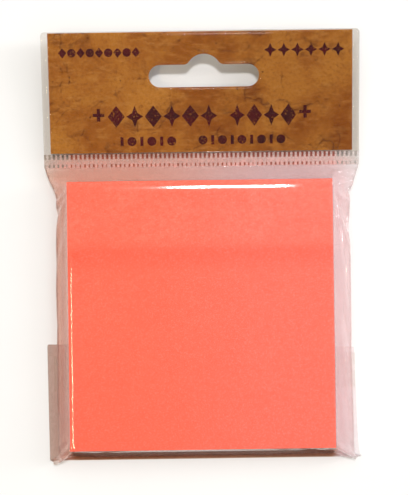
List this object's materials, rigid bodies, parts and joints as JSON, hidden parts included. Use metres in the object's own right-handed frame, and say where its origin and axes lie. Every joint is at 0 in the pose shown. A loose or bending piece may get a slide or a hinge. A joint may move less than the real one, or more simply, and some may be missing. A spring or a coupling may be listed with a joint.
{
  "type": "sticky note pad",
  "caption": "Square pad of coral pink sticky notes in a clear film bag, with a printed card header and a hanging slot.",
  "frame": {"origin": "middle of the pack's footprint, on the surface that it lies on, with the notes' face up", "axes": "+X across the notes, +Y from the notes towards the header card, +Z out of the notes' face"},
  "size_m": [0.09, 0.1221, 0.0111],
  "materials": {
    "note_paper": "matte",
    "liner_paper": "satin",
    "header_print": "satin",
    "clear_film": "gloss",
    "tape": "satin"
  },
  "bodies": {
    "root": {"note_block": "note_paper", "liner_sheet": "liner_paper", "header_card": "header_print", "bag_film": "clear_film", "flap_tape": "tape"}
  },
  "joints": []
}
